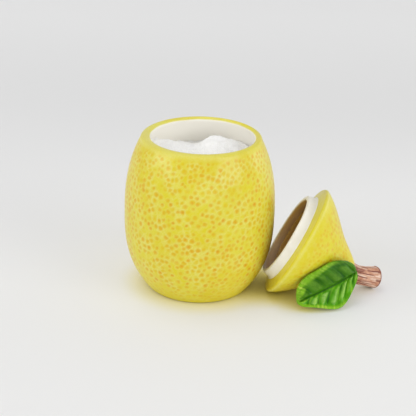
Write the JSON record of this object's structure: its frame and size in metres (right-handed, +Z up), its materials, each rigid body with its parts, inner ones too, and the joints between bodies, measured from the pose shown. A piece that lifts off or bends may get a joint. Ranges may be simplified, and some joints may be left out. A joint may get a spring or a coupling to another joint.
{
  "type": "lidded ceramic jar",
  "caption": "Lemon-shaped glazed jar for sugar or sweets, standing open with its lid laid beside it; the lid has a centring flange, a stem for a knob and a leaf.",
  "frame": {"origin": "centre of the jar's foot, level with the surface that the jar stands on", "axes": "+Z up along the jar's axis, +X from the jar towards the lid that lies beside it, +Y towards the back"},
  "size_m": [0.157, 0.09, 0.0945],
  "materials": {
    "yellow_glaze": "glossy glaze with small orange pores",
    "ivory_glaze": "glossy clear glaze over white clay",
    "bark_glaze": "brushed brown stain under satin glaze",
    "leaf_glaze": "glossy green glaze, thinner on the raised veins"
  },
  "bodies": {
    "jar": {"jar_body": "yellow_glaze"},
    "lid": {"lid_dome": "yellow_glaze", "lid_flange": "ivory_glaze", "stem": "bark_glaze", "leaf": "leaf_glaze"}
  },
  "joints": [
    {"name": "lid_lift", "type": "slide", "parent": "jar", "child": "lid", "axis": [0.5, 0, 0.866], "range_m": [0, 0.12]}
  ]
}
